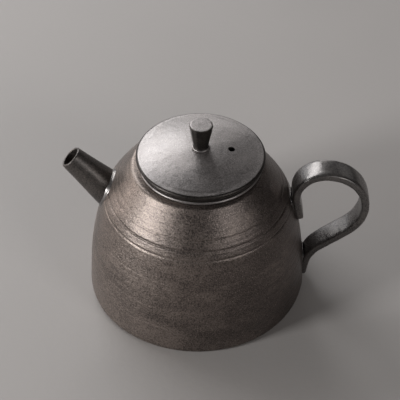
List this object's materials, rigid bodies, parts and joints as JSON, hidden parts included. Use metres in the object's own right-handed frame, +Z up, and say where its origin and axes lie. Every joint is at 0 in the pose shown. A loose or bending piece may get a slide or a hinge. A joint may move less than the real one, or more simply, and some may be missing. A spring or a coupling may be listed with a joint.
{
  "type": "teapot",
  "caption": "Small round glazed stoneware teapot with a short tapered spout, a looped strap handle opposite it, and a lift-off domed lid with a cone knob and a vent hole.",
  "frame": {"origin": "centre of the foot, on the surface the pot stands on", "axes": "+Z up; +X towards the handle, so the spout points to -X; +Y is across the spout and handle"},
  "size_m": [0.1289, 0.0942, 0.0857],
  "materials": {
    "body_glaze": "dark metallic iron glaze, finely speckled, satin",
    "lid_glaze": "pewter-brown metallic glaze, smoother, satin",
    "trim_glaze": "near-black metallic glaze, semi-gloss",
    "inner_glaze": "thin dark brown glaze, satin",
    "bare_clay": "unglazed dark iron-rich stoneware, matt"
  },
  "bodies": {
    "pot": {"body_shell": "body_glaze", "mouth_ring": "lid_glaze", "spout": "trim_glaze", "spout_luting": "trim_glaze", "strainer": "inner_glaze", "handle_strap": "trim_glaze", "handle_luting_upper": "trim_glaze", "handle_luting_lower": "trim_glaze"},
    "lid": {"lid_disc": "lid_glaze", "lid_flange": "bare_clay", "knob_bead": "lid_glaze", "knob": "trim_glaze"}
  },
  "joints": [
    {"name": "lid_lift", "type": "slide", "parent": "pot", "child": "lid", "axis": [0, 0, 1], "range_m": [0, 0.04]}
  ]
}
